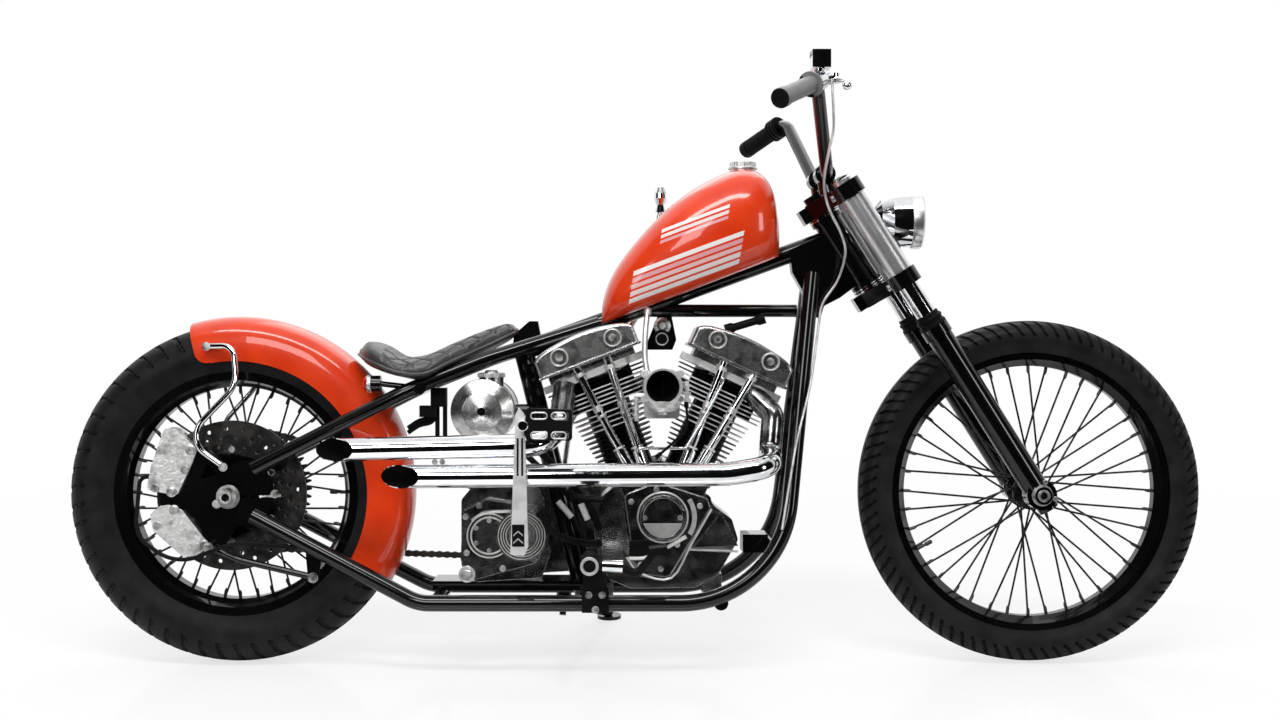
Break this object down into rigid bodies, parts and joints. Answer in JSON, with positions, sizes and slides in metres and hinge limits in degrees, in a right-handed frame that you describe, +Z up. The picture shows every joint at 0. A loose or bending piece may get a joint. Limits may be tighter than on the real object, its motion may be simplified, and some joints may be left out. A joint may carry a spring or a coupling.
{
  "type": "chopper motorcycle",
  "caption": "Rigid-frame V-twin chopper motorcycle leaning on its side stand, with spoked wheels, drag pipes, a teardrop tank and a solo saddle.",
  "frame": {"origin": "on the ground under the middle of the bounding box", "axes": "+X forward, +Y to the rider's left, +Z up; the machine leans 6 degrees to its left on its side stand"},
  "size_m": [2.247, 0.8464, 1.1963],
  "materials": {
    "chrome": "mirror chrome",
    "frame_black": "gloss black paint",
    "polished_alloy": "polished cast alloy",
    "barrel_black": "black paint with bright fin edges",
    "body_red": "gloss orange-red paint",
    "seat_leather": "black leather, diamond stitched",
    "tyre_rubber": "matt black rubber",
    "rim_black": "gloss black paint",
    "spoke_steel": "dark steel",
    "disc_black": "dark drilled rotor with a worn face",
    "drive_steel": "oiled steel",
    "grip_rubber": "ribbed black rubber",
    "lamp_chrome": "chrome shell and clear lens",
    "lens_red": "red lens in a black cup"
  },
  "bodies": {
    "chassis": {"rear_axle": "chrome", "axle_plates": "frame_black", "frame_rail_right": "frame_black", "frame_rail_left": "frame_black", "frame_spine": "frame_black", "frame_stays": "frame_black", "crossmembers": "frame_black", "gearbox": "polished_alloy", "crankcase": "polished_alloy", "cylinders": "barrel_black", "cylinder_heads": "polished_alloy", "rocker_boxes": "polished_alloy", "cam_cover": "polished_alloy", "pushrod_tubes": "chrome", "carburettor": "polished_alloy", "primary_cover": "polished_alloy", "kick_starter": "chrome", "drive_chain": "drive_steel", "oil_tank": "polished_alloy", "fuel_cap": "chrome", "fuel_tank": "body_red", "rear_fender": "body_red", "seat": "seat_leather", "fender_struts": "chrome", "caliper_carrier": "frame_black", "brake_calipers": "polished_alloy", "exhaust_pipes": "chrome", "tail_lamp": "lens_red", "foot_controls": "grip_rubber", "regulator": "frame_black", "hand_shifter": "chrome", "brake_hose": "grip_rubber"},
    "steering": {"front_axle": "chrome", "fork_tubes": "chrome", "fork_sliders": "frame_black", "handlebar": "frame_black", "fork_bridge_lower": "frame_black", "fork_bridge_upper": "frame_black", "grips": "grip_rubber", "hand_lever": "polished_alloy", "headlight": "lamp_chrome"},
    "rear_wheel": {"rear_rim": "rim_black", "rear_tyre": "tyre_rubber", "rear_hub_spokes": "spoke_steel", "brake_disc": "disc_black", "rear_sprocket": "drive_steel"},
    "front_wheel": {"front_rim": "rim_black", "front_tyre": "tyre_rubber", "front_hub_spokes": "spoke_steel"},
    "side_stand": {"side_stand": "frame_black"}
  },
  "joints": [
    {"name": "steering", "type": "hinge", "parent": "chassis", "child": "steering", "pos_m": [0.42695, -0.02735, 0.80726], "axis": [-0.5329, 0.0885, 0.8416], "range_deg": [-28, 28]},
    {"name": "rear_wheel_spin", "type": "hinge", "parent": "chassis", "child": "rear_wheel", "pos_m": [-0.7875, -0.07701, 0.33478], "axis": [0, 0.9945, -0.1045], "continuous": true},
    {"name": "front_wheel_spin", "type": "hinge", "parent": "steering", "child": "front_wheel", "pos_m": [0.7845, -0.0767, 0.33777], "axis": [0, 0.9945, -0.1045], "continuous": true},
    {"name": "side_stand_fold", "type": "hinge", "parent": "chassis", "child": "side_stand", "pos_m": [-0.1475, 0.05661, 0.0754], "axis": [0.0541, 0.3827, 0.9223], "range_deg": [0, 105]}
  ]
}
